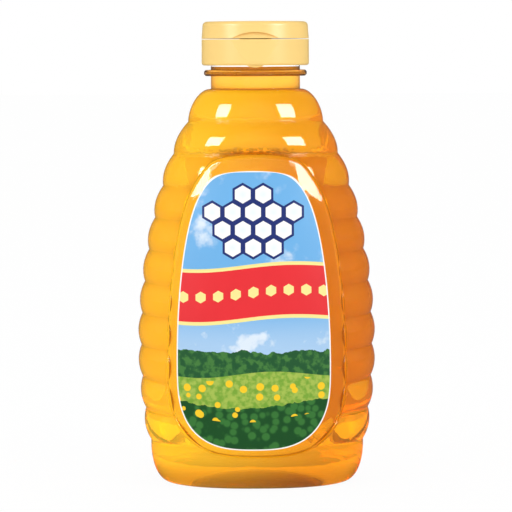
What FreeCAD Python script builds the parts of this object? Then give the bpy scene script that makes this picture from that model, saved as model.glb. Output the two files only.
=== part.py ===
"""A clear squeeze bottle of honey with stacked ribs like a woven hive, a bell-shaped panel with
a label front and back, a support ring at the neck, and a flip-top cap whose lid is hinged at the
rear.

Frame: +Z up, X across the width, Y through the depth. The front faces -Y. The origin is on the
table, under the middle of the bottle. All sizes are in millimetres.
"""

import FreeCAD, Part
import math
import os

Vector = FreeCAD.Vector

# --- Ribbed body -------------------------------------------------------------------------------
# Grooves are numbered from 0 at the base. Half-sizes are measured at the bottom of a groove.
GROOVES = 11
GROOVE_PITCH = 11.9
LOWEST_GROOVE_Z = 15.5
BELLY_GROOVE = 3  # the widest one
BELLY_HALF_WIDTH, BELLY_HALF_DEPTH = 43.2, 32.4
BASE_HALF_WIDTH, BASE_HALF_DEPTH = 39.95, 29.8  # at the lowest groove
SHOULDER_HALF_WIDTH, SHOULDER_HALF_DEPTH = 25.2, 21.8  # at the highest groove
SWELL_POWER = 1.85  # of the body's outline between them; an ellipse is 2
RIB_BULGE = 1.4
SHOULDER_RISE = 12.1  # from the highest groove to the neck
SHOULDER_ROUNDNESS = 1.75
HEEL_HEIGHT = 13.5
HEEL_TUCK = 6.3  # how far the foot lies inside the base
PUSH_UP_HALF_WIDTH, PUSH_UP_HALF_DEPTH, PUSH_UP_HEIGHT = 25.0, 17.0, 4.5
WALL = 0.8
FLOOR = 1.2
SECTION_POWER = 2.35  # of the body's superellipse; a round neck is 2

# --- Panel and labels --------------------------------------------------------------------------
PANEL_HALF_WIDTH = 33.0
PANEL_TOP_ABOVE_GROOVE = 1.0  # above the second highest groove
PANEL_BOTTOM_BELOW_GROOVE = 3.3  # below the lowest groove
PANEL_WIDEST_BELOW_BELLY = 6.0
PANEL_TOP_HALF_DEPTH = 28.0
PANEL_LIFT = 0.6  # above the bottom of the grooves at the belly and the base
PANEL_EDGE_RADIUS = 2.2
PANEL_LAP = 0.1  # how far the panel's pad runs into the ribs around it
PANEL_TOP_POWER, PANEL_BOTTOM_POWER = 0.28, 2.85
LABEL_SIDE_MARGIN, LABEL_TOP_MARGIN, LABEL_BOTTOM_MARGIN = 4.8, 6.2, 3.1
LABEL_TOP_POWER = 0.25
LABEL_THICKNESS = 0.12
LABEL_SHIFT = 1.1  # the front label sits this far to the left of its panel's middle

# --- Neck --------------------------------------------------------------------------------------
NECK_RADIUS, NECK_WALL = 16.6, 1.4
NECK_STEP = 0.7  # the shoulder starts this far outside the neck
NECK_LENGTH = 4.9  # from the shoulder to the support ring
RING_RADIUS, RING_THICKNESS, RING_EDGE = 19.15, 2.2, 0.6
FINISH_RADIUS = 18.4  # the band inside the cap
FINISH_HEIGHT = 9.9  # from the support ring to the lip
HONEY_BELOW_CAP = 0.5  # the honey's level under the lower edge of the cap

# --- Cap ---------------------------------------------------------------------------------------
CAP_RADIUS, CAP_BASE_TAPER = 20.0, 0.05
CAP_GAP = 1.7  # between the support ring and the cap
CAP_BORE_CLEARANCE = 0.1
CAP_CORNER = 1.0
DECK_THICKNESS = 1.4
PARTING_GAP = 0.3
LID_HEIGHT, LID_WALL, LID_TOP = 6.3, 2.2, 1.3
LID_TAPER, LID_CORNER = 0.45, 1.6
SPOUT_RADIUS, SPOUT_BORE, SPOUT_HEIGHT = 4.7, 3.2, 3.0
PLUG_CLEARANCE, PLUG_DEPTH = 0.2, 1.0
SCOOP_WIDTH, SCOOP_RISE, SCOOP_DEPTH, SCOOP_LENGTH = 18.2, 2.6, 1.1, 8.4
TAB_WIDTH, TAB_DROP = 6.4, 0.7

# --- Lid hinge ---------------------------------------------------------------------------------
HINGE_OFFSET = 1.2  # from the cap's wall to the axis
KNUCKLE_RADIUS, PIN_RADIUS, PIN_CLEARANCE = 0.9, 0.45, 0.05
EAR_WIDTH, LUG_WIDTH, KNUCKLE_GAP = 5.6, 3.0, 0.2
EAR_REACH = 2.6  # how far the ear and the lugs run up and down the walls

# --- Modelling allowances ----------------------------------------------------------------------
SINK = 0.8  # how far a piece is sunk into the one that it grows from
OVERRUN = 1.0  # how far a cut runs past the material that it goes through
PANEL_OVERRUN = 6.0  # how far the surface of a panel is drawn past the panel's ends
SEW_TOLERANCE = 1e-4


# --- Places worked out from the sizes ----------------------------------------------------------

def groove_z(index):
    return LOWEST_GROOVE_Z + index * GROOVE_PITCH


BELLY_Z = groove_z(BELLY_GROOVE)
TOP_GROOVE_Z = groove_z(GROOVES - 1)
SHOULDER_TOP_Z = TOP_GROOVE_Z + SHOULDER_RISE
RING_BOTTOM_Z = SHOULDER_TOP_Z + NECK_LENGTH
RING_TOP_Z = RING_BOTTOM_Z + RING_THICKNESS
LIP_Z = RING_TOP_Z + FINISH_HEIGHT
CAP_BOTTOM_Z = RING_TOP_Z + CAP_GAP
HONEY_LEVEL_Z = CAP_BOTTOM_Z - HONEY_BELOW_CAP
PARTING_Z = LIP_Z + DECK_THICKNESS
LID_BOTTOM_Z = PARTING_Z + PARTING_GAP
LID_TOP_Z = LID_BOTTOM_Z + LID_HEIGHT
HINGE_Y = CAP_RADIUS + HINGE_OFFSET
HINGE_Z = PARTING_Z + PARTING_GAP / 2
PANEL_TOP_Z = groove_z(GROOVES - 2) + PANEL_TOP_ABOVE_GROOVE
PANEL_BOTTOM_Z = LOWEST_GROOVE_Z - PANEL_BOTTOM_BELOW_GROOVE
PANEL_WIDEST_Z = BELLY_Z - PANEL_WIDEST_BELOW_BELLY
PANEL_ROOT_DEPTH = BELLY_HALF_DEPTH / 4  # a panel's pad is rooted this far in front of the middle
CLEAR_DEPTH = 2 * BELLY_HALF_DEPTH  # well in front of everything


# --- Shape helpers -----------------------------------------------------------------------------
def power(value, exponent):
    """The power of a value's size, with the value's sign kept."""
    return math.copysign(abs(value) ** exponent, value)


def closed_curve(points, pieces=1):
    """A smooth closed wire through the points, in as many edges as asked. Its parameters are evenly
    numbered, so that curves with as many points match knot for knot."""
    curve = Part.BSplineCurve()
    parameters = [float(number) for number in range(len(points) + 1)]
    curve.interpolate(Points=points, PeriodicFlag=True, Parameters=parameters)
    ends = [len(points) * number / pieces for number in range(pieces + 1)]
    return Part.Wire([curve.toShape(start, end) for start, end in zip(ends, ends[1:])])


def section(z, half_width, half_depth, exponent):
    """A level superellipse."""
    steps = 32
    points = []
    for step in range(steps):
        angle = 2 * math.pi * step / steps
        x = half_width * power(math.cos(angle), 2 / exponent)
        y = half_depth * power(math.sin(angle), 2 / exponent)
        points.append(Vector(x, y, z))
    return closed_curve(points)


def skinned(groups):
    """A solid whose side is one smooth strip for each group of sections, creased where two groups
    share a section, with a flat face at each end."""
    faces = [Part.Face(groups[0][0]), Part.Face(groups[-1][-1])]
    for group in groups:
        faces += Part.makeLoft(group, False).Faces
    shell = Part.makeShell(faces)
    shell.sewShape()
    solid = Part.Solid(shell.Shells[0])
    solid.fix(SEW_TOLERANCE, SEW_TOLERANCE, SEW_TOLERANCE)
    return solid


def lathe(outline):
    """A solid of revolution about Z from (radius, z) corners."""
    corners = [Vector(radius, 0, z) for radius, z in outline]
    face = Part.Face(Part.makePolygon(corners + corners[:1]))
    return face.revolve(Vector(0, 0, 0), Vector(0, 0, 1), 360)


def cylinder_x(radius, x_from, x_to, y, z):
    return Part.makeCylinder(radius, x_to - x_from, Vector(x_from, y, z), Vector(1, 0, 0))


def ellipsoid(half_width, half_depth, half_height):
    """An ellipsoid about the origin."""
    stretch = FreeCAD.Matrix()
    stretch.scale(half_width, half_depth, half_height)
    return Part.makeSphere(1).transformGeometry(stretch)


# --- Body --------------------------------------------------------------------------------------
def swell(z, belly, base, shoulder):
    """A half-size at the bottom of the grooves: one bow above the belly and one below it, which
    pass through the half-sizes at the base and at the shoulder."""
    end, end_z = (shoulder, TOP_GROOVE_Z) if z > BELLY_Z else (base, LOWEST_GROOVE_Z)
    share = abs((z - BELLY_Z) / (end_z - BELLY_Z))
    return belly * math.sqrt(1 - (1 - (end / belly) ** 2) * share ** SWELL_POWER)


def body_half_sizes(z):
    width = swell(z, BELLY_HALF_WIDTH, BASE_HALF_WIDTH, SHOULDER_HALF_WIDTH)
    depth = swell(z, BELLY_HALF_DEPTH, BASE_HALF_DEPTH, SHOULDER_HALF_DEPTH)
    return width, depth


def section_power(z):
    """The body's section turns slowly into the neck's circle."""
    share = (SHOULDER_TOP_Z - z) / (SHOULDER_TOP_Z - BELLY_Z)
    return 2 + (SECTION_POWER - 2) * min(1, max(0, share))


def rib_sections(index, inset):
    """The rib between two grooves, a bow in both half-sizes."""
    steps = 4
    low_z, high_z = groove_z(index), groove_z(index + 1)
    low, high = body_half_sizes(low_z), body_half_sizes(high_z)
    sections = []
    for step in range(steps + 1):
        share = step / steps
        z = low_z + (high_z - low_z) * share
        bow = RIB_BULGE * 4 * share * (1 - share) - inset
        half_sizes = [a + (b - a) * share + bow for a, b in zip(low, high)]
        sections.append(section(z, *half_sizes, section_power(z)))
    return sections


def shoulder_sections(inset):
    """The dome from the highest groove up to the neck, a quarter of a superellipse."""
    steps = 8
    rise = SHOULDER_RISE - inset
    top = NECK_RADIUS + NECK_STEP - inset
    sections = []
    for step in range(steps + 1):
        angle = math.pi / 2 * step / steps
        up = math.sin(angle) ** (2 / SHOULDER_ROUNDNESS)
        out = max(0, math.cos(angle)) ** (2 / SHOULDER_ROUNDNESS)
        z = TOP_GROOVE_Z + rise * up
        half_sizes = [top + (size - inset - top) * out for size in body_half_sizes(TOP_GROOVE_Z)]
        sections.append(section(z, *half_sizes, 2 + (section_power(TOP_GROOVE_Z) - 2) * out))
    return sections


def heel_sections(inset, floor_z):
    """The lowest section, which tucks in to the foot as a quarter of an ellipse."""
    steps = 8
    widest = [size - inset for size in body_half_sizes(LOWEST_GROOVE_Z)]
    sections = []
    for step in range(steps + 1):
        angle = math.pi / 2 * step / steps
        z = HEEL_HEIGHT - (HEEL_HEIGHT - floor_z) * math.cos(angle)
        tuck = HEEL_TUCK * (1 - math.sin(angle))
        half_sizes = [size - tuck for size in widest]
        sections.append(section(z, *half_sizes, SECTION_POWER))
    sections.append(section(LOWEST_GROOVE_Z, *widest, SECTION_POWER))
    return sections


def ribbed_body(inset, floor_z):
    groups = [heel_sections(inset, floor_z)]
    groups += [rib_sections(index, inset) for index in range(GROOVES - 1)]
    groups += [shoulder_sections(inset)]
    return skinned(groups)


# --- Panel -------------------------------------------------------------------------------------
def panel_surface(outset):
    """A smooth barrel whose front and back are the surfaces of the two panels."""
    steps = 10
    low, high = PANEL_BOTTOM_Z - PANEL_OVERRUN, PANEL_TOP_Z + PANEL_OVERRUN
    sections = []
    for step in range(steps + 1):
        z = low + (high - low) * step / steps
        width, depth = body_half_sizes(z)
        if z > BELLY_Z:
            share = (z - BELLY_Z) / (PANEL_TOP_Z - BELLY_Z)
            drop = BELLY_HALF_DEPTH + PANEL_LIFT - PANEL_TOP_HALF_DEPTH
            depth = BELLY_HALF_DEPTH - drop * share ** 2
        half_sizes = [size + PANEL_LIFT + outset for size in (width, depth)]
        sections.append(section(z, *half_sizes, SECTION_POWER))
    return skinned([sections])


def bell_outline(half_width, bottom_z, top_z, top_power):
    """A bell: a blunt foot, sides that lean in and a round top, as a closed wire at y = 0."""
    steps, pieces = 8, 16
    right = []
    for step in range(steps + 1):
        angle = math.pi / 2 * step / steps
        across = half_width * math.sin(angle) ** (2 / PANEL_BOTTOM_POWER)
        down = (PANEL_WIDEST_Z - bottom_z) * max(0, math.cos(angle)) ** (2 / PANEL_BOTTOM_POWER)
        right.append(Vector(across, 0, PANEL_WIDEST_Z - down))
    for step in range(1, steps + 1):
        angle = math.pi / 2 * step / steps
        across = half_width * max(0, math.cos(angle)) ** (2 * top_power)
        right.append(Vector(across, 0, PANEL_WIDEST_Z + (top_z - PANEL_WIDEST_Z) * math.sin(angle)))
    left = [Vector(-point.x, 0, point.z) for point in reversed(right[1:-1])]
    return closed_curve(right + left, pieces)


def bell_block(outline, shallow, deep):
    """The outline run forward (towards -Y) from one depth to another."""
    face = Part.Face(outline)
    face.translate(Vector(0, -shallow, 0))
    return face.extrude(Vector(0, shallow - deep, 0))


def panel_outline(inset):
    return bell_outline(
        PANEL_HALF_WIDTH - inset, PANEL_BOTTOM_Z + inset, PANEL_TOP_Z - inset, PANEL_TOP_POWER
    )


def front_panel(inset):
    """The room that the front panel takes, and the pad with a rounded rim that fills it."""
    pad = bell_block(panel_outline(inset), PANEL_ROOT_DEPTH, CLEAR_DEPTH)
    pad = pad.common(panel_surface(-inset))
    room_depth = PANEL_ROOT_DEPTH + SINK
    rim = [edge for edge in pad.Edges if edge.BoundBox.YMax < -room_depth]
    pad = pad.makeFillet(PANEL_EDGE_RADIUS - inset, rim)
    return bell_block(panel_outline(inset + PANEL_LAP), room_depth, CLEAR_DEPTH), pad


def turned_back(shape):
    """The same shape at the back of the bottle."""
    turned = shape.copy()
    turned.rotate(Vector(0, 0, 0), Vector(0, 0, 1), 180)
    return turned


def body_form(inset, floor_z):
    """The body with its two panels, moved in from the outside by inset, and solid."""
    room, pad = front_panel(inset)
    body = ribbed_body(inset, floor_z)
    body = body.cut(room).fuse(pad)
    body = body.cut(turned_back(room)).fuse(turned_back(pad))
    push_up = ellipsoid(
        PUSH_UP_HALF_WIDTH + inset, PUSH_UP_HALF_DEPTH + inset, PUSH_UP_HEIGHT + floor_z
    )
    return body.cut(push_up)


# --- Pieces ------------------------------------------------------------------------------------
def neck():
    outer, ring, finish = NECK_RADIUS, RING_RADIUS, FINISH_RADIUS
    band_z = CAP_BOTTOM_Z + CAP_CORNER
    return lathe(
        [
            (0, SHOULDER_TOP_Z - SINK),
            (outer, SHOULDER_TOP_Z - SINK),
            (outer, RING_BOTTOM_Z),
            (ring - RING_EDGE, RING_BOTTOM_Z),
            (ring, RING_BOTTOM_Z + RING_EDGE),
            (ring, RING_TOP_Z - RING_EDGE),
            (ring - RING_EDGE, RING_TOP_Z),
            (outer, RING_TOP_Z),
            (outer, band_z),
            (finish, band_z),
            (finish, LIP_Z),
            (0, LIP_Z),
        ]
    )


def neck_bore(top_z):
    """The bore from just inside the shoulder up to top_z."""
    bottom_z = SHOULDER_TOP_Z - WALL - OVERRUN
    return Part.makeCylinder(NECK_RADIUS - NECK_WALL, top_z - bottom_z, Vector(0, 0, bottom_z))


def bottle(inside):
    """The outer form with the inside left out of it as a closed hollow, which the bore then opens."""
    outside = body_form(0, 0).fuse(neck())
    hollow = Part.Solid(Part.makeCompound([outside.Shells[0], inside.Shells[0].reversed()]))
    return hollow.cut(neck_bore(LIP_Z + OVERRUN))


def honey(inside):
    return inside.fuse(neck_bore(HONEY_LEVEL_Z))


def label(shift):
    """A thin skin on the front panel."""
    outline = bell_outline(
        PANEL_HALF_WIDTH - LABEL_SIDE_MARGIN,
        PANEL_BOTTOM_Z + LABEL_BOTTOM_MARGIN,
        PANEL_TOP_Z - LABEL_TOP_MARGIN,
        LABEL_TOP_POWER,
    )
    outline.translate(Vector(shift, 0, 0))
    block = bell_block(outline, PANEL_ROOT_DEPTH, CLEAR_DEPTH)
    return block.common(panel_surface(LABEL_THICKNESS)).cut(panel_surface(0))


def thumb_scoop():
    """What is cut from the front of the cap: an arch in the lid, and a hollow that runs out down
    the wall of the base."""
    half, reach = SCOOP_WIDTH / 2, 3 * SCOOP_LENGTH
    arch_radius = (half ** 2 + SCOOP_RISE ** 2) / (2 * SCOOP_RISE)
    arch_z = PARTING_Z + SCOOP_RISE - arch_radius
    arch = Part.makeCylinder(
        arch_radius, CAP_RADIUS, Vector(0, -CAP_RADIUS / 2, arch_z), Vector(0, -1, 0)
    )
    side_y = math.sqrt(CAP_RADIUS ** 2 - half ** 2)
    sagitta = side_y - (CAP_RADIUS - SCOOP_DEPTH)
    back_radius = (half ** 2 + sagitta ** 2) / (-2 * sagitta)
    back = Part.makeCylinder(
        back_radius,
        2 * reach,
        Vector(0, back_radius - CAP_RADIUS + SCOOP_DEPTH, PARTING_Z - reach),
    )
    lean = math.degrees(math.atan2(SCOOP_DEPTH, SCOOP_LENGTH))
    back.rotate(Vector(0, -CAP_RADIUS + SCOOP_DEPTH, PARTING_Z), Vector(1, 0, 0), -lean)
    return arch.cut(back)


def knuckle(x_from, x_to, wall_z, end_z):
    """A barrel on the hinge axis with a web to the wall, which it meets from wall_z to end_z."""
    web = Part.makeBox(
        x_to - x_from,
        HINGE_OFFSET + SINK,
        abs(end_z - wall_z),
        Vector(x_from, CAP_RADIUS - SINK, min(wall_z, end_z)),
    )
    return web.fuse(cylinder_x(KNUCKLE_RADIUS, x_from, x_to, HINGE_Y, HINGE_Z))


def edge_at(solid, radius, z):
    """The round edge of a lathed solid at that radius and height."""
    return next(
        edge
        for edge in solid.Edges
        if isinstance(edge.Curve, Part.Circle)
        and math.isclose(edge.Curve.Radius, radius)
        and math.isclose(edge.Curve.Center.z, z)
    )


def pull_tab(bore):
    """A small round tab that hangs from the front of the cap's lower rim."""
    radius = (TAB_WIDTH ** 2 / 4 + TAB_DROP ** 2) / (2 * TAB_DROP)
    thickness = CAP_RADIUS - CAP_CORNER - bore
    low_z = CAP_BOTTOM_Z - TAB_DROP
    disc = Part.makeCylinder(radius, thickness, Vector(0, -bore, low_z + radius), Vector(0, -1, 0))
    foot = Vector(-TAB_WIDTH / 2, -CAP_RADIUS, low_z)
    return disc.common(Part.makeBox(TAB_WIDTH, CAP_RADIUS, 2 * TAB_DROP, foot))


def cap_base():
    bore = FINISH_RADIUS + CAP_BORE_CLEARANCE
    base = lathe(
        [
            (bore, CAP_BOTTOM_Z),
            (CAP_RADIUS, CAP_BOTTOM_Z),
            (CAP_RADIUS - CAP_BASE_TAPER, PARTING_Z),
            (SPOUT_RADIUS, PARTING_Z),
            (SPOUT_RADIUS, PARTING_Z + SPOUT_HEIGHT),
            (SPOUT_BORE, PARTING_Z + SPOUT_HEIGHT),
            (SPOUT_BORE, LIP_Z),
            (bore, LIP_Z),
        ]
    )
    base = base.makeFillet(CAP_CORNER, [edge_at(base, CAP_RADIUS, CAP_BOTTOM_Z)])
    base = base.fuse(pull_tab(bore)).cut(thumb_scoop())
    inner, outer = EAR_WIDTH / 2 + KNUCKLE_GAP, EAR_WIDTH / 2 + KNUCKLE_GAP + LUG_WIDTH
    for x_from, x_to in ((-outer, -inner), (inner, outer)):
        base = base.fuse(knuckle(x_from, x_to, PARTING_Z, PARTING_Z - EAR_REACH))
    return base.fuse(cylinder_x(PIN_RADIUS, -outer, outer, HINGE_Y, HINGE_Z))


def cap_lid():
    edge = CAP_RADIUS - CAP_BASE_TAPER
    top = edge - LID_TAPER
    cavity = edge - LID_WALL
    ceiling = LID_TOP_Z - LID_TOP
    plug = SPOUT_BORE - PLUG_CLEARANCE
    plug_z = PARTING_Z + SPOUT_HEIGHT - PLUG_DEPTH
    lid = lathe(
        [
            (0, plug_z),
            (plug, plug_z),
            (plug, ceiling),
            (cavity, ceiling),
            (cavity, LID_BOTTOM_Z),
            (edge, LID_BOTTOM_Z),
            (top, LID_TOP_Z),
            (0, LID_TOP_Z),
        ]
    )
    lid = lid.makeFillet(LID_CORNER, [edge_at(lid, top, LID_TOP_Z)]).cut(thumb_scoop())
    ear = knuckle(-EAR_WIDTH / 2, EAR_WIDTH / 2, LID_BOTTOM_Z, LID_BOTTOM_Z + EAR_REACH)
    pin_room = cylinder_x(PIN_RADIUS + PIN_CLEARANCE, -EAR_WIDTH, EAR_WIDTH, HINGE_Y, HINGE_Z)
    return lid.fuse(ear).cut(pin_room)


def main():
    os.makedirs("parts", exist_ok=True)
    inside = body_form(WALL, FLOOR)
    pieces = {
        "bottle": bottle(inside),
        "honey": honey(inside),
        "label_front": label(-LABEL_SHIFT),
        "label_back": turned_back(label(0)),
        "cap_base": cap_base(),
        "cap_lid": cap_lid(),
    }
    for name, shape in pieces.items():
        shape.exportStep(f"parts/{name}.step")


main()
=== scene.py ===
"""Dresses a ribbed squeeze bottle of honey with its clear plastic, honey, printed labels and
flip-top cap, and sets up its studio.

Frame: metres, +Z up, the front faces -Y, the origin on the table under the bottle's middle.
"""

import math

import bpy
from mathutils import Matrix, Vector


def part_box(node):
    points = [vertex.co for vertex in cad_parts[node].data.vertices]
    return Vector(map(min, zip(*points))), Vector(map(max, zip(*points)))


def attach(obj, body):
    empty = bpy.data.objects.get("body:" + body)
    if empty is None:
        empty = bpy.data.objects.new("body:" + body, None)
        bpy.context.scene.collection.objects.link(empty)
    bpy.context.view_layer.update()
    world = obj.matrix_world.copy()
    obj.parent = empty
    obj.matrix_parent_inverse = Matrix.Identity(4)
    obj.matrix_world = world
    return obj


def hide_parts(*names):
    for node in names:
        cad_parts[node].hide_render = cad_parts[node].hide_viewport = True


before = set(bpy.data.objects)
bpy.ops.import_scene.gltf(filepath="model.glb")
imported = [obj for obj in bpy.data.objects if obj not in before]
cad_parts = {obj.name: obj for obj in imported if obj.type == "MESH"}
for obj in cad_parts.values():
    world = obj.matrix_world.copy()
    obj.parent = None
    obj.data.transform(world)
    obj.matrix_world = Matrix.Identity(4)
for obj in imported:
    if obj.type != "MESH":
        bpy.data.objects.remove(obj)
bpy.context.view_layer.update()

bl_info = {
    "name": "Honey Squeeze Bottle",
    "version": (1, 0, 0),
    "blender": (4, 5, 0),
    "location": "3D View > Sidebar > Honey Bottle",
    "description": "Clear bottle, honey, labels and flip-top cap of a honey squeeze bottle",
    "category": "Object",
}

LABEL_LOW, LABEL_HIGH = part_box("label_front")
MM = 1000.0

# Stretches over which the honey's painted glow and shade change, from none to full, in millimetres.
LEFT_TO_RIGHT = (-30.0, 34.0)
FOOT = (13.0, 2.0)
NECK = (145.5, 147.5)
UNDER_CAP = (151.3, 152.6)
GROOVE_REACH = 0.006  # how wide a groove may be to count as one, in metres
GROOVE = (0.98, 0.7)  # how open a point is where a groove's shade starts and where it is full

# Refractive indices. The honey's is under the real one, so that its sides stay bright.
PLASTIC_IOR, HONEY_IOR, PAPER_IOR, CAP_IOR = 1.5, 1.3, 1.45, 1.49

# Places on the label, as shares of its height.
HAZE = (0.55, 0.36)
COMB_MIDDLE, COMB_HALF_WIDTH, COMB_HALF_HEIGHT = 0.815, 0.33 * 0.56, 0.115
FAR_HILLS, NEAR_HILLS, LEAVES = 0.335, 0.275, 0.155
RIBBON_MIDDLE = 0.565

# The printed comb and beads, as shares of a cell, and other sizes of the print in millimetres.
CELL_MIDDLE, CELL_OUTLINE, BEAD = 0.36, 0.385, 0.29
BEAD_PITCH, BEAD_ROW, PIPING = 6.4, 4.0, 1.3

# The label's outline: its widest height in millimetres, and the powers of its curves.
LABEL_WIDEST_Z = 45.2
BELL_ACROSS, BELL_UP, ROUND_FOOT = 4, 2, 2.85

# The studio, in metres and degrees.
BACKDROP_EDGE = (0.5, 0.92)  # how far towards the back a ray points at the backdrop's edge
BACKDROP_SIDE, BACKDROP_DIM = 0.8, 0.25
FLOOR_GLOW, FLOOR_THROUGH = 0.95, 0.6
AIM_HEIGHT, SOFTBOX_DISTANCE = 0.085, 1.2
GLOSS_BOXES = (("left", -54, (0.46, 0.46)), ("right", 51, (0.56, 0.48)))
GLOSS_ELEVATION, LIGHT_ELEVATION = 24, 26
LIGHT_SIZE = (0.65, 0.62)
CAMERA_PLACE = (-0.0001, -0.8867, 0.1608)
CAMERA_DOWN, CAMERA_ROLL, CAMERA_LENS = 4.95, -0.28, 166.7


def tone(red, green, blue):
    """A linear colour from 8-bit display values."""
    return tuple(
        value / 12.92 if value <= 0.04045 else ((value + 0.055) / 1.055) ** 2.4
        for value in (red / 255, green / 255, blue / 255)
    )


# --- Settings ----------------------------------------------------------------------------------
def colour_setting(name, description, value):
    return bpy.props.FloatVectorProperty(
        name=name, description=description, default=value, size=3, min=0, max=1, subtype="COLOR"
    )


def length_setting(name, description, value):
    return bpy.props.FloatProperty(
        name=name, description=description, default=value, min=0, unit="LENGTH", precision=5
    )


def number_setting(name, description, value, highest=1000.0):
    return bpy.props.FloatProperty(
        name=name, description=description, default=value, min=0, max=highest
    )


class HoneyBottleFilling(bpy.types.PropertyGroup):
    overlap: length_setting(
        "Overlap", "How far the honey reaches into the bottle's wall, so that no air shows", 0.00012
    )
    tint: colour_setting("Tint", "Colour of the faint haze in the honey", (1.0, 0.6, 0.03))
    # Painted shade: the haze colour where shade falls, in the grooves and at both ends.
    shade: colour_setting("Shade", "Haze in the grooves and at both ends", (0.4, 0.12, 0.0))
    # Painted light: emission standing in for light scattered in the honey, left, right and in the
    # neck.
    bright_glow: colour_setting("Left glow", "Light scattered on the left", (0.30, 0.25, 0.012))
    dim_glow: colour_setting("Right glow", "Light scattered on the right", (0.15, 0.05, 0.0))
    neck_glow: colour_setting("Neck glow", "Light scattered in the neck", (0.24, 0.15, 0.06))
    clearness: number_setting("Clearness", "Share of light that the haze lets through", 0.88, 1.0)
    absorbed: colour_setting(
        "Depth colour", "What is left of white light deep in the honey", (0.985, 0.76, 0.045)
    )
    density: number_setting("Depth", "How fast the honey takes up light, per metre", 45)


class HoneyBottlePrint(bpy.types.PropertyGroup):
    border: length_setting("Border", "Width of the unprinted edge of a label", 0.00045)
    comb_cell: length_setting("Comb cell", "Width across flats of a printed comb cell", 0.0074)
    ribbon_height: length_setting("Ribbon height", "Height of the red ribbon", 0.0205)
    paper: colour_setting("Paper", "Unprinted label", tone(250, 250, 246))
    sky: colour_setting("Sky", "Sky", tone(112, 178, 230))
    cloud: colour_setting("Cloud", "Clouds", tone(235, 243, 250))
    navy: colour_setting("Navy", "Outline of the comb cells", tone(38, 52, 118))
    ribbon: colour_setting("Ribbon", "Ribbon", tone(238, 52, 58))
    piping: colour_setting("Piping", "Edge of the ribbon and its small cells", tone(250, 232, 150))
    wood: colour_setting("Wood", "Far hills", tone(38, 92, 52))
    meadow: colour_setting("Meadow", "Near hills", tone(122, 168, 58))
    leaf: colour_setting("Leaf", "Leaves at the foot of the label", tone(30, 84, 40))
    flower: colour_setting("Flower", "Flowers", tone(250, 205, 40))


class HoneyBottleCap(bpy.types.PropertyGroup):
    colour: colour_setting("Colour", "Moulded plastic of the cap", tone(254, 216, 131))
    # Painted shade: the cap's colour in its recesses; it also tints the cap's faint cloudiness.
    shade: colour_setting("Shade", "Plastic in the recesses of the cap", tone(240, 176, 78))


class HoneyBottleStudio(bpy.types.PropertyGroup):
    backdrop: colour_setting("Backdrop", "Floor and surroundings", (1.0, 1.0, 1.0))
    softbox_radiance: number_setting("Softbox gloss", "Softboxes in reflections", 13)
    softbox_light: number_setting("Softbox light", "Softboxes on plain surfaces", 1.8)
    surround_light: number_setting("Surround light", "Surroundings on plain surfaces", 0.9)
    backlight: number_setting("Backlight", "Backdrop through the honey", 1.35)
    room: number_setting("Room", "The dim studio in reflections", 0.06)


# --- Finishes ----------------------------------------------------------------------------------
class Value:
    """A number that varies over a surface. Arithmetic on it adds Math nodes."""

    def __init__(self, finish, socket):
        self.finish = finish
        self.socket = socket

    def __add__(self, other):
        return self.finish.math("ADD", self, other)

    def __radd__(self, other):
        return self.finish.math("ADD", other, self)

    def __sub__(self, other):
        return self.finish.math("SUBTRACT", self, other)

    def __rsub__(self, other):
        return self.finish.math("SUBTRACT", other, self)

    def __mul__(self, other):
        return self.finish.math("MULTIPLY", self, other)

    def __rmul__(self, other):
        return self.finish.math("MULTIPLY", other, self)

    def __truediv__(self, other):
        return self.finish.math("DIVIDE", self, other)

    def __pow__(self, other):
        return self.finish.math("POWER", self, other)

    def __mod__(self, other):
        return self.finish.math("FLOORED_MODULO", self, other)

    def __abs__(self):
        return self.finish.math("ABSOLUTE", self)

    def __lt__(self, other):
        return self.finish.math("LESS_THAN", self, other)

    def __gt__(self, other):
        return self.finish.math("GREATER_THAN", self, other)


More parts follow.
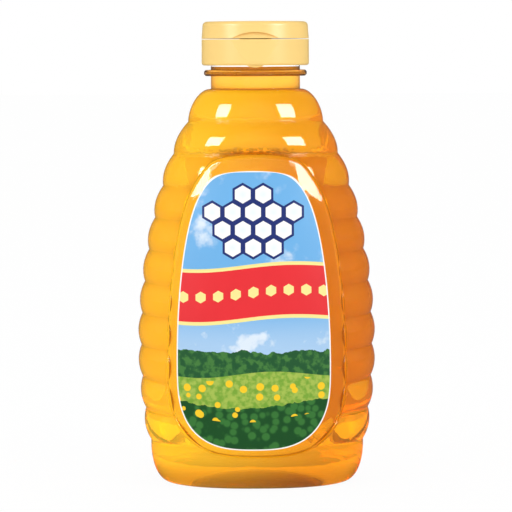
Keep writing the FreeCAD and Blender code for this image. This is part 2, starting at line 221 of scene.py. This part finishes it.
class Finish:
    """The nodes of one material, or of the world."""

    def __init__(self, tree):
        self.tree = tree
        tree.nodes.clear()

    def node(self, kind, settings=None, sockets=None):
        """A node with its settings, which come first, and the values or links of its sockets."""
        node = self.tree.nodes.new(kind)
        for name, value in (settings or {}).items():
            setattr(node, name, value)
        for name, value in (sockets or {}).items():
            if isinstance(value, Value):
                value = value.socket
            if isinstance(value, bpy.types.NodeSocket):
                self.tree.links.new(value, node.inputs[name])
            elif isinstance(node.inputs[name], bpy.types.NodeSocketColor):
                node.inputs[name].default_value = (*value[:3], 1)
            else:
                node.inputs[name].default_value = value
        return node

    def math(self, operation, *values):
        node = self.node("ShaderNodeMath", {"operation": operation}, dict(enumerate(values)))
        return Value(self, node.outputs[0])

    def either(self, first, second):
        return self.math("MAXIMUM", first, second)

    def both(self, first, second):
        return self.math("MINIMUM", first, second)

    def ease(self, value, low, high):
        """0 below low and 1 above high, smooth between them."""
        node = self.node(
            "ShaderNodeMapRange", {"interpolation_type": "SMOOTHSTEP"}, {0: value, 1: low, 2: high}
        )
        return Value(self, node.outputs[0])

    def mix(self, mask, under, over):
        """One colour over another, where the mask is 1."""
        node = self.node("ShaderNodeMix", {"data_type": "RGBA"}, {0: mask, 6: under, 7: over})
        return node.outputs[2]

    def place(self):
        """The point on the piece, in metres."""
        return self.node("ShaderNodeTexCoord").outputs["Object"]

    def across_up(self, place):
        """How far right and how high a point is, in millimetres."""
        parts = self.node("ShaderNodeSeparateXYZ", None, {0: place})
        return Value(self, parts.outputs[0]) * MM, Value(self, parts.outputs[2]) * MM

    def noise(self, place, scale, detail=2.0, roughness=0.5):
        """Cloudy noise from 0 to 1, with scale lumps to a metre."""
        sockets = {"Vector": place, "Scale": scale, "Detail": detail, "Roughness": roughness}
        return Value(self, self.node("ShaderNodeTexNoise", None, sockets).outputs[0])

    def spots(self, place, scale):
        """How far a point is from the nearest of scattered spots, scale of them to a metre."""
        node = self.node("ShaderNodeTexVoronoi", None, {"Vector": place, "Scale": scale})
        return Value(self, node.outputs["Distance"])

    def openness(self, distance, own_shape_only):
        """1 in the open, and less in grooves and recesses up to about that distance wide."""
        node = self.node(
            "ShaderNodeAmbientOcclusion",
            {"samples": 8, "only_local": own_shape_only},
            {"Distance": distance},
        )
        return Value(self, node.outputs["AO"])

    def bump(self, height, distance, strength=1.0):
        sockets = {"Height": height, "Distance": distance, "Strength": strength}
        return self.node("ShaderNodeBump", None, sockets).outputs[0]


def new_material(name):
    material = bpy.data.materials.new(name)
    material.use_nodes = True
    return material, Finish(material.node_tree)


def dress(node_name, material):
    """Gives a node of the frame its material."""
    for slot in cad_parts[node_name].material_slots:
        slot.material = material


def clear_plastic():
    """Glossy clear plastic, very slightly wavy and hazy as blown bottles are."""
    material, finish = new_material("clear_plastic_finish")
    place = finish.place()
    waves = finish.noise(place, 55, 1.0)
    haze = finish.noise(place, 160, 3.0)
    surface = finish.node(
        "ShaderNodeBsdfPrincipled",
        None,
        {
            "Base Color": (1.0, 1.0, 1.0),
            "Roughness": haze * 0.02 + 0.004,
            "IOR": PLASTIC_IOR,
            "Transmission Weight": 1.0,
            "Normal": finish.bump(waves, 0.0004, 0.25),
        },
    )
    finish.node("ShaderNodeOutputMaterial", None, {"Surface": surface.outputs[0]})
    return material


def honey_finish(filling):
    """Clear amber honey with a faint haze, and painted shade in its grooves, at its foot and under
    the cap. Its colour deepens with its thickness, and a painted glow, standing in for light that
    it scatters, falls off from left to right."""
    material, finish = new_material("honey_finish")
    place = finish.place()
    streaks = finish.noise(place, 70, 1.0)
    x, z = finish.across_up(place)
    # Painted shade: darker haze and less glow in the grooves, at the foot and under the cap.
    groove = finish.ease(finish.openness(GROOVE_REACH, True), *GROOVE)
    ends = finish.either(finish.ease(z, *FOOT) * 0.7, finish.ease(z, *UNDER_CAP))
    painted_shade = finish.either(groove, ends)
    # Painted light: this glow is emission that stands in for scattered light, brighter on the left.
    glow = finish.mix(finish.ease(x, *LEFT_TO_RIGHT), filling.bright_glow, filling.dim_glow)
    glow = finish.mix(finish.ease(z, *NECK), glow, filling.neck_glow)
    glow = finish.mix(painted_shade, glow, (0.0, 0.0, 0.0))
    colour = finish.mix(painted_shade * 0.8, filling.tint, filling.shade)
    surface = finish.node(
        "ShaderNodeBsdfPrincipled",
        None,
        {
            "Base Color": colour,
            "Roughness": streaks * 0.04,
            "IOR": HONEY_IOR,
            "Transmission Weight": filling.clearness,
            "Emission Color": glow,
            "Emission Strength": 1.0,
        },
    )
    inside = finish.node(
        "ShaderNodeVolumeAbsorption", None, {"Color": filling.absorbed, "Density": filling.density}
    )
    sockets = {"Surface": surface.outputs[0], "Volume": inside.outputs[0]}
    finish.node("ShaderNodeOutputMaterial", None, sockets)
    return material


def comb_cells(finish, x, z, width):
    """A comb of upright cells: how far a point is from the middle of its cell (0.5 at the cell's
    edge), and that middle."""
    tall = math.sqrt(3)
    u, v = x / width, z / width

    def cell(shift_u, shift_v):
        across = (u + shift_u) % 1.0 - 0.5
        up = (v + shift_v) % tall - tall / 2
        reach = finish.either(abs(across), abs(across) * 0.5 + abs(up) * (tall / 2))
        return across, up, reach

    across_a, up_a, reach_a = cell(0.0, 0.0)
    across_b, up_b, reach_b = cell(0.5, tall / 2)
    first = reach_a < reach_b
    across = across_a * first + across_b * (1 - first)
    up = up_a * first + up_b * (1 - first)
    return finish.both(reach_a, reach_b), x - across * width, z - up * width


def label_print(name, printing, middle_x, back):
    """A printed label: sky with clouds, a patch of comb, a red ribbon, hills and flowers, and its
    plain reverse. back is 1 for the label that faces the back, and -1 for the front one."""
    material, finish = new_material(name)
    place = finish.place()
    x, z = finish.across_up(place)
    x = x - middle_x * MM
    low, high = LABEL_LOW.z * MM, LABEL_HIGH.z * MM
    height = high - low

    clouds = finish.ease(finish.noise(place, 75, 4.0, 0.55), 0.53, 0.7) * 0.85
    haze = finish.ease(z, *(low + share * height for share in HAZE))
    sky = finish.mix(finish.either(clouds, haze * 0.35), printing.sky, printing.cloud)

    cell, cell_x, cell_z = comb_cells(finish, x, z, printing.comb_cell * MM)
    comb_x = cell_x / (COMB_HALF_WIDTH * height)
    comb_z = (cell_z - (low + COMB_MIDDLE * height)) / (COMB_HALF_HEIGHT * height)
    wax = finish.mix(finish.ease(cell, 0.0, CELL_MIDDLE), printing.cloud, printing.paper)
    wax = finish.mix(cell > CELL_OUTLINE, wax, printing.navy)
    picture = finish.mix(comb_x ** 2 + comb_z ** 2 < 1.0, sky, wax)

    far_edge = finish.noise(place, 150, 4.0, 0.6) * 5.0 + (low + FAR_HILLS * height)
    wood = finish.mix(
        finish.ease(finish.noise(place, 420, 3.0), 0.42, 0.62), printing.wood, tone(70, 128, 62)
    )
    picture = finish.mix(z < far_edge, picture, wood)
    near_edge = finish.math("SINE", x * 0.11 + 0.8) * 1.3 + (low + NEAR_HILLS * height)
    tufts = finish.ease(finish.noise(place, 520, 3.0), 0.35, 0.65)
    meadow = finish.mix(tufts, printing.meadow, tone(168, 192, 84))
    picture = finish.mix(z < near_edge, picture, meadow)
    foot_edge = finish.math("SINE", x * 0.09 - 1.1) * 1.8 + (low + LEAVES * height)
    leaves = finish.ease(finish.spots(place, 330), 0.35, 0.62)
    foot = finish.mix(leaves, tone(58, 122, 56), printing.leaf)
    picture = finish.mix(z < foot_edge + finish.noise(place, 300, 2.0) * 3.0, picture, foot)
    blossom = finish.spots(place, 210) < 0.30
    in_bloom = finish.both(z < near_edge - 1.2, z > foot_edge - 3.5)
    picture = finish.mix(finish.both(blossom, in_bloom), picture, printing.flower)

    ribbon_z = finish.math("SINE", x * 0.085 + 0.4) * 1.5 + (low + RIBBON_MIDDLE * height)
    from_ribbon = abs(z - ribbon_z)
    half = printing.ribbon_height * MM / 2
    cloth = finish.mix(finish.noise(place, 90, 2.0) * 0.35, printing.ribbon, tone(206, 34, 44))
    bead, _, bead_z = comb_cells(finish, x, z - ribbon_z, BEAD_PITCH)
    beads = finish.both(bead < BEAD, abs(bead_z) < BEAD_ROW)
    cloth = finish.mix(beads, cloth, printing.piping)
    ribbon = finish.mix(from_ribbon > half - PIPING, cloth, printing.piping)
    picture = finish.mix(from_ribbon < half, picture, ribbon)

    facing = finish.node("ShaderNodeTexCoord").outputs["Normal"]
    parts = finish.node("ShaderNodeSeparateXYZ", None, {0: facing})
    reverse = Value(finish, parts.outputs[1]) * back < -0.3
    unprinted = finish.either(outside_print(finish, x, z, printing.border * MM), reverse)
    picture = finish.mix(unprinted, picture, printing.paper)
    grain = finish.noise(place, 2600, 2.0)
    surface = finish.node(
        "ShaderNodeBsdfPrincipled",
        None,
        {
            "Base Color": picture,
            "Roughness": grain * 0.12 + 0.3,
            "IOR": PAPER_IOR,
            "Specular IOR Level": 0.2,
            "Normal": finish.bump(grain, 0.00002, 0.4),
        },
    )
    finish.node("ShaderNodeOutputMaterial", None, {"Surface": surface.outputs[0]})
    return material


def outside_print(finish, x, z, border):
    """1 on the unprinted edge of the bell-shaped label."""
    half_width = (LABEL_HIGH.x - LABEL_LOW.x) / 2 * MM - border
    low, high = LABEL_LOW.z * MM + border, LABEL_HIGH.z * MM - border
    across = abs(x) / half_width
    up = finish.either((z - LABEL_WIDEST_Z) / (high - LABEL_WIDEST_Z), 0.0)
    down = finish.either((LABEL_WIDEST_Z - z) / (LABEL_WIDEST_Z - low), 0.0)
    bell = finish.both(z > LABEL_WIDEST_Z, across ** BELL_ACROSS + up ** BELL_UP > 1.0)
    foot = finish.both(z < LABEL_WIDEST_Z, across ** ROUND_FOOT + down ** ROUND_FOOT > 1.0)
    return finish.either(bell, foot)


def cap_plastic(cap):
    """Satin moulded plastic, slightly cloudy, with painted shade in its recesses."""
    material, finish = new_material("cap_plastic_finish")
    place = finish.place()
    cloudy = finish.noise(place, 35, 2.0)
    grain = finish.noise(place, 1800, 3.0)
    # Painted shade: the cap is darker in its recesses, where shade falls.
    recess_shade = finish.ease(finish.openness(0.004, False), 0.75, 0.35)
    colour = finish.mix(recess_shade * 0.6 + cloudy * 0.08, cap.colour, cap.shade)
    surface = finish.node(
        "ShaderNodeBsdfPrincipled",
        None,
        {
            "Base Color": colour,
            "Roughness": grain * 0.1 + 0.27,
            "IOR": CAP_IOR,
            "Normal": finish.bump(grain, 0.00002, 0.35),
        },
    )
    finish.node("ShaderNodeOutputMaterial", None, {"Surface": surface.outputs[0]})
    return material


# --- Pieces ------------------------------------------------------------------------------------
def deselect():
    if bpy.context.object and bpy.context.object.mode != "OBJECT":
        bpy.ops.object.mode_set(mode="OBJECT")
    bpy.ops.object.select_all(action="DESELECT")


def pick(piece):
    deselect()
    piece.select_set(True)
    bpy.context.view_layer.objects.active = piece


class HONEYBOTTLE_OT_bottle(bpy.types.Operator):
    """Finish the clear bottle"""

    bl_idname = "honeybottle.bottle"
    bl_label = "Bottle"

    def execute(self, context):
        dress("bottle", clear_plastic())
        return {"FINISHED"}


class HONEYBOTTLE_OT_honey(bpy.types.Operator):
    """Fill the bottle with honey that reaches just into its wall"""

    bl_idname = "honeybottle.honey"
    bl_label = "Honey"

    def execute(self, context):
        filling = context.scene.honeybottle_filling
        piece = bpy.data.objects.new("honey_filling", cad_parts["honey"].data.copy())
        context.scene.collection.objects.link(piece)
        pick(piece)
        bpy.ops.object.mode_set(mode="EDIT")
        bpy.ops.mesh.select_all(action="SELECT")
        bpy.ops.mesh.remove_doubles(threshold=0.000002)
        bpy.ops.mesh.customdata_custom_splitnormals_clear()
        bpy.ops.transform.shrink_fatten(value=filling.overlap)
        bpy.ops.object.mode_set(mode="OBJECT")
        bpy.ops.object.shade_smooth_by_angle(angle=math.radians(80))
        piece.data.materials.clear()
        piece.data.materials.append(honey_finish(filling))
        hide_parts("honey")
        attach(piece, "bottle")
        return {"FINISHED"}


class HONEYBOTTLE_OT_labels(bpy.types.Operator):
    """Print the front and the back label"""

    bl_idname = "honeybottle.labels"
    bl_label = "Labels"

    def execute(self, context):
        printing = context.scene.honeybottle_print
        for name, back in (("label_front", -1), ("label_back", 1)):
            low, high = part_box(name)
            dress(name, label_print(name + "_print", printing, (low.x + high.x) / 2, back))
        return {"FINISHED"}


class HONEYBOTTLE_OT_cap(bpy.types.Operator):
    """Finish the cap and its lid"""

    bl_idname = "honeybottle.cap"
    bl_label = "Cap"

    def execute(self, context):
        material = cap_plastic(context.scene.honeybottle_cap)
        dress("cap_base", material)
        dress("cap_lid", material)
        return {"FINISHED"}


# --- Studio ------------------------------------------------------------------------------------
def seen_rays(finish):
    """1 on rays from the camera, on reflected rays, and on rays through clear things."""
    path = finish.node("ShaderNodeLightPath")
    kinds = ("Camera", "Glossy", "Transmission")
    return [Value(finish, path.outputs[f"Is {kind} Ray"]) for kind in kinds]


def backdrop_world(studio):
    """Surroundings that are white where they are seen, dim in reflections, and plain as light.
    Through the honey they are a bright backdrop that falls off to its sides and upwards."""
    world = bpy.data.worlds.new("studio_world")
    world.use_nodes = True
    bpy.context.scene.world = world
    finish = Finish(world.node_tree)
    camera, mirror, through = seen_rays(finish)
    direction = finish.node("ShaderNodeTexCoord").outputs["Generated"]
    parts = finish.node("ShaderNodeSeparateXYZ", None, {0: direction})
    x, y = Value(finish, parts.outputs[0]), Value(finish, parts.outputs[1])
    bright = finish.ease(finish.either(abs(y), abs(x) * BACKDROP_SIDE), *BACKDROP_EDGE)
    backlight = (bright * (1 - BACKDROP_DIM) + BACKDROP_DIM) * studio.backlight
    unseen = (1 - camera) * (1 - mirror) * (1 - through)
    level = camera + mirror * studio.room + through * backlight + unseen * studio.surround_light
    background = finish.node(
        "ShaderNodeBackground", None, {"Color": studio.backdrop, "Strength": level}
    )
    finish.node("ShaderNodeOutputWorld", None, {"Surface": background.outputs[0]})


def floor_finish(studio):
    """A white table, which shows a faint shadow."""
    material, finish = new_material("studio_floor_finish")
    camera, mirror, through = seen_rays(finish)
    strength = camera + mirror * studio.room + through * FLOOR_THROUGH
    sockets = {"Color": studio.backdrop, "Strength": strength}
    glow = finish.node("ShaderNodeEmission", None, sockets)
    matt = finish.node("ShaderNodeBsdfDiffuse", None, {"Color": (0.95, 0.95, 0.95)})
    white = finish.either(finish.either(camera, mirror), through) * FLOOR_GLOW
    surface = finish.node(
        "ShaderNodeMixShader", None, {0: white, 1: matt.outputs[0], 2: glow.outputs[0]}
    )
    finish.node("ShaderNodeOutputMaterial", None, {"Surface": surface.outputs[0]})
    return material


def softbox(name, azimuth, elevation, size, radiance, glossy):
    """A softbox, azimuth degrees to the right of the front. A glossy one shows in reflections
    alone, and the other kind lights plain surfaces alone."""
    turn, lift = math.radians(azimuth), math.radians(elevation)
    level = math.cos(lift)
    away = Vector((math.sin(turn) * level, -math.cos(turn) * level, math.sin(lift)))
    deselect()
    bpy.ops.object.light_add(
        type="AREA",
        location=Vector((0, 0, AIM_HEIGHT)) + away * SOFTBOX_DISTANCE,
        rotation=away.to_track_quat("Z", "Y").to_euler(),
    )
    lamp = bpy.context.object
    lamp.name = name
    lamp.data.shape = "RECTANGLE"
    lamp.data.size, lamp.data.size_y = size
    lamp.data.energy = radiance * math.pi * size[0] * size[1]
    lamp.visible_camera = False
    lamp.visible_diffuse = not glossy
    lamp.visible_glossy = glossy
    lamp.visible_transmission = glossy


class HONEYBOTTLE_OT_studio(bpy.types.Operator):
    """Set up the floor, the lights and the camera"""

    bl_idname = "honeybottle.studio"
    bl_label = "Studio"

    def execute(self, context):
        studio = context.scene.honeybottle_studio
        deselect()
        bpy.ops.mesh.primitive_plane_add(size=16, location=(0, 0, 0))
        floor = context.object
        floor.name = "studio_floor"
        floor.data.materials.append(floor_finish(studio))
        backdrop_world(studio)
        gloss, light = studio.softbox_radiance, studio.softbox_light
        for side, azimuth, size in GLOSS_BOXES:
            softbox(f"softbox_{side}_gloss", azimuth, GLOSS_ELEVATION, size, gloss, True)
            softbox(f"softbox_{side}_light", azimuth, LIGHT_ELEVATION, LIGHT_SIZE, light, False)
        deselect()
        bpy.ops.object.camera_add(
            location=CAMERA_PLACE, rotation=(math.radians(90 - CAMERA_DOWN), 0, 0)
        )
        camera = context.object
        camera.name = "studio_camera"
        roll = Matrix.Rotation(math.radians(CAMERA_ROLL), 4, "Z")
        camera.matrix_world = camera.matrix_world @ roll
        camera.data.sensor_width = 36
        camera.data.lens = CAMERA_LENS
        camera.data.clip_start, camera.data.clip_end = 0.01, 100
        context.scene.camera = camera
        context.scene.view_settings.view_transform = "Standard"
        return {"FINISHED"}


class HONEYBOTTLE_PT_sidebar(bpy.types.Panel):
    """The steps that dress the bottle, and their settings"""

    bl_idname = "HONEYBOTTLE_PT_sidebar"
    bl_label = "Honey Bottle"
    bl_space_type = "VIEW_3D"
    bl_region_type = "UI"
    bl_category = "Honey Bottle"

    def draw(self, context):
        for step in STEPS:
            self.layout.operator(step.bl_idname)
        for name, group in SETTINGS.items():
            settings = getattr(context.scene, name)
            box = self.layout.box()
            for setting in group.__annotations__:
                box.prop(settings, setting)


SETTINGS = {
    "honeybottle_filling": HoneyBottleFilling,
    "honeybottle_print": HoneyBottlePrint,
    "honeybottle_cap": HoneyBottleCap,
    "honeybottle_studio": HoneyBottleStudio,
}
STEPS = (
    HONEYBOTTLE_OT_bottle,
    HONEYBOTTLE_OT_honey,
    HONEYBOTTLE_OT_labels,
    HONEYBOTTLE_OT_cap,
    HONEYBOTTLE_OT_studio,
)
CLASSES = (*SETTINGS.values(), *STEPS, HONEYBOTTLE_PT_sidebar)


def register():
    for item in CLASSES:
        bpy.utils.register_class(item)
    for name, group in SETTINGS.items():
        setattr(bpy.types.Scene, name, bpy.props.PointerProperty(type=group))


def unregister():
    for name in SETTINGS:
        delattr(bpy.types.Scene, name)
    for item in reversed(CLASSES):
        bpy.utils.unregister_class(item)


def main():
    register()
    bpy.ops.honeybottle.bottle()
    bpy.ops.honeybottle.honey()
    bpy.ops.honeybottle.labels()
    bpy.ops.honeybottle.cap()
    bpy.ops.honeybottle.studio()


if __name__ == "__main__":
    main()
